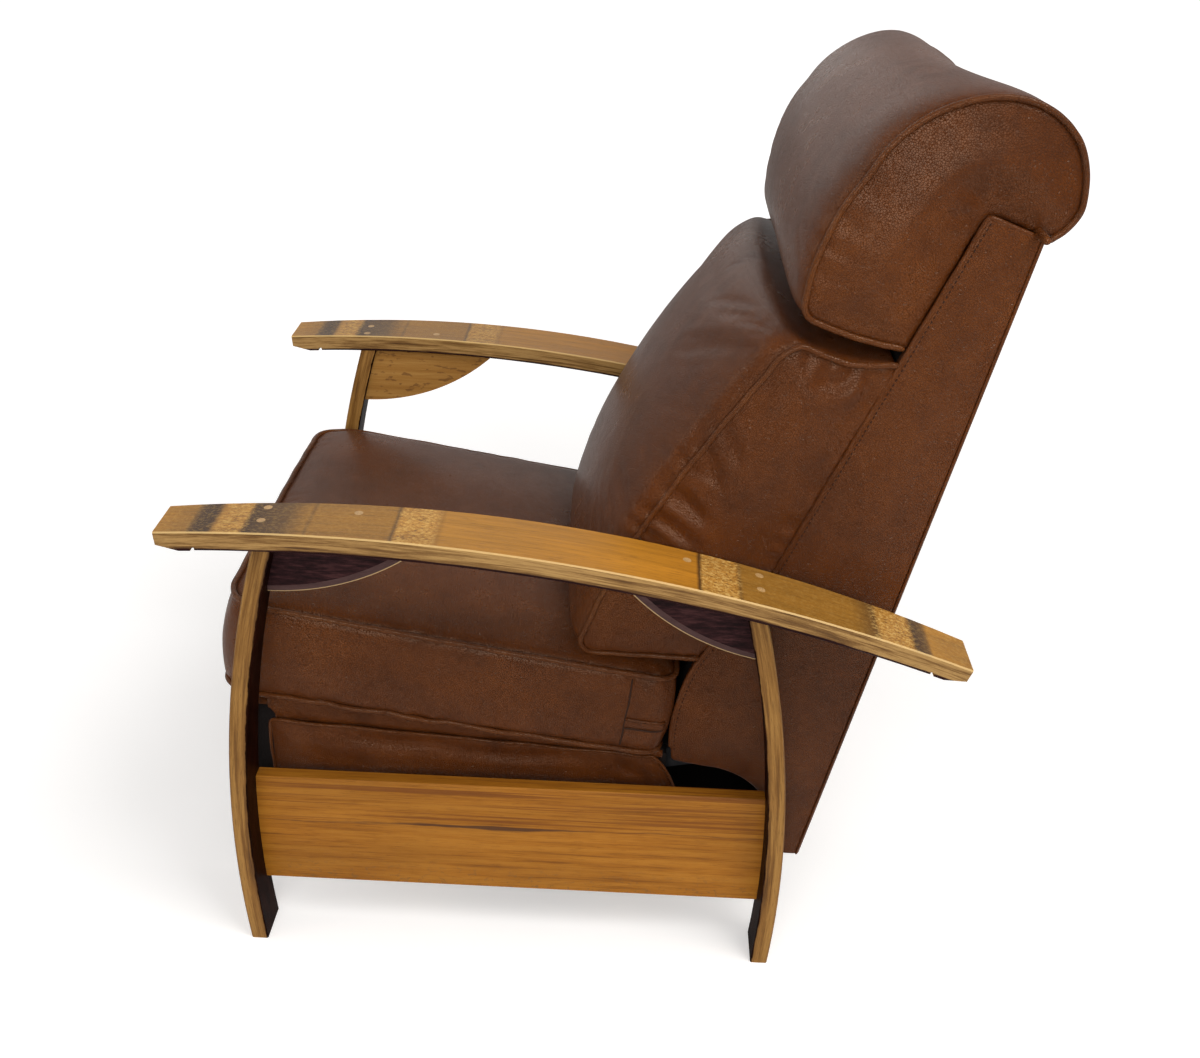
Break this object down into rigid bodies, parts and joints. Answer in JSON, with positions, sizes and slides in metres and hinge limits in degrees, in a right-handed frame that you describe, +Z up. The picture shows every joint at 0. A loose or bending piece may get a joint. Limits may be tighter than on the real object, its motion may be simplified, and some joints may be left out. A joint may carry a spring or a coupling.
{
  "type": "reclining armchair",
  "caption": "Push-back reclining armchair with wooden stave arms and legs, a leather box seat, a high cushioned back with headrest roll, and a fold-out footrest.",
  "frame": {"origin": "centre of the bounding box on the floor plane", "axes": "+Z up, the chair faces -Y, +X is the left of a person sitting in it"},
  "size_m": [0.732, 0.9928, 1.1205],
  "materials": {
    "oak": "reclaimed white oak, clear lacquer",
    "oak_plug": "oak end grain, clear lacquer",
    "screw_steel": "zinc plated",
    "inner_wood": "plain sawn hardwood",
    "black_steel": "black satin coat",
    "rivet_steel": "zinc plated",
    "spring_steel": "oiled spring wire",
    "strap_webbing": "woven elastic webbing",
    "deck_board": "thin plywood",
    "leather": "chestnut brown, semi matt"
  },
  "bodies": {
    "frame": {"arm_left": "oak", "arm_right": "oak", "leg_front_left": "oak", "leg_front_right": "oak", "leg_rear_left": "oak", "leg_rear_right": "oak", "side_rail_left": "oak", "side_rail_right": "oak", "corbel_front_left": "oak", "corbel_front_right": "oak", "corbel_rear_left": "oak", "corbel_rear_right": "oak", "arm_plugs": "oak_plug", "arm_screws": "screw_steel", "stretcher_front": "inner_wood", "stretcher_rear": "inner_wood", "corner_brackets": "black_steel", "frame_screws": "screw_steel", "base_rail_left": "black_steel", "base_rail_right": "black_steel", "base_pins": "rivet_steel"},
    "front_swing": {"swing_front_left": "black_steel", "swing_front_right": "black_steel", "swing_tube": "black_steel"},
    "swing_rear_left": {"swing_rear_left": "black_steel"},
    "swing_rear_right": {"swing_rear_right": "black_steel"},
    "seat": {"seat_plate_left": "black_steel", "seat_plate_right": "black_steel", "seat_pins": "rivet_steel", "seat_board_left": "inner_wood", "seat_board_right": "inner_wood", "seat_rail_front": "inner_wood", "seat_rail_rear": "inner_wood", "seat_deck": "deck_board", "seat_skirt_left": "leather", "seat_skirt_right": "leather", "seat_springs": "spring_steel", "seat_cushion": "leather"},
    "footrest_drive": {"drive_link_left": "black_steel", "drive_link_right": "black_steel", "drive_tube": "black_steel"},
    "reach_left": {"reach_link_left": "black_steel"},
    "reach_right": {"reach_link_right": "black_steel"},
    "footrest": {"footrest_bracket_left": "black_steel", "footrest_bracket_right": "black_steel", "footrest_board": "inner_wood", "footrest_pad": "leather"},
    "back": {"back_panel_left": "leather", "back_panel_right": "leather", "back_cover": "leather", "back_rail_top": "inner_wood", "back_rail_middle": "inner_wood", "back_rail_bottom": "inner_wood", "back_straps": "strap_webbing", "back_bracket_left": "black_steel", "back_bracket_right": "black_steel", "back_bolts": "screw_steel", "back_cushion": "leather", "headrest": "leather"}
  },
  "joints": [
    {"name": "recline", "type": "hinge", "parent": "seat", "child": "back", "pos_m": [0, 0.14821, 0.26197], "axis": [-1, 0, 0], "range_deg": [0, 32]},
    {"name": "front_swing_turn", "type": "hinge", "parent": "frame", "child": "front_swing", "pos_m": [0, -0.23181, 0.15], "axis": [1, 0, 0], "range_deg": [0, 45]},
    {"name": "seat_turn", "type": "hinge", "parent": "front_swing", "child": "seat", "pos_m": [0, -0.19761, 0.24397], "axis": [-1, 0, 0], "range_deg": [0, 45]},
    {"name": "rear_swing_left_turn", "type": "hinge", "parent": "frame", "child": "swing_rear_left", "pos_m": [0, 0.03319, 0.15], "axis": [1, 0, 0], "range_deg": [0, 45]},
    {"name": "rear_swing_right_turn", "type": "hinge", "parent": "frame", "child": "swing_rear_right", "pos_m": [0, 0.03319, 0.15], "axis": [1, 0, 0], "range_deg": [0, 45]},
    {"name": "footrest_drive_turn", "type": "hinge", "parent": "seat", "child": "footrest_drive", "pos_m": [0, -0.30889, 0.28456], "axis": [-1, 0, 0], "range_deg": [0, 55]},
    {"name": "reach_left_turn", "type": "hinge", "parent": "footrest_drive", "child": "reach_left", "pos_m": [0, -0.37397, 0.13839], "axis": [1, 0, 0], "range_deg": [0, 110]},
    {"name": "reach_right_turn", "type": "hinge", "parent": "footrest_drive", "child": "reach_right", "pos_m": [0, -0.37397, 0.13839], "axis": [1, 0, 0], "range_deg": [0, 110]},
    {"name": "footrest_turn", "type": "hinge", "parent": "reach_left", "child": "footrest", "pos_m": [0, -0.36281, 0.298], "axis": [-1, 0, 0], "range_deg": [0, 127]}
  ],
  "couplings": [
    {"joint": "front_swing_turn", "follows": "recline", "ratio": 1.4062},
    {"joint": "seat_turn", "follows": "recline", "ratio": 1.4062},
    {"joint": "rear_swing_left_turn", "follows": "recline", "ratio": 1.4062},
    {"joint": "rear_swing_right_turn", "follows": "recline", "ratio": 1.4062},
    {"joint": "footrest_drive_turn", "follows": "recline", "ratio": 1.7188},
    {"joint": "reach_left_turn", "follows": "recline", "ratio": 3.4375},
    {"joint": "reach_right_turn", "follows": "recline", "ratio": 3.4375},
    {"joint": "footrest_turn", "follows": "recline", "ratio": 3.9688}
  ]
}
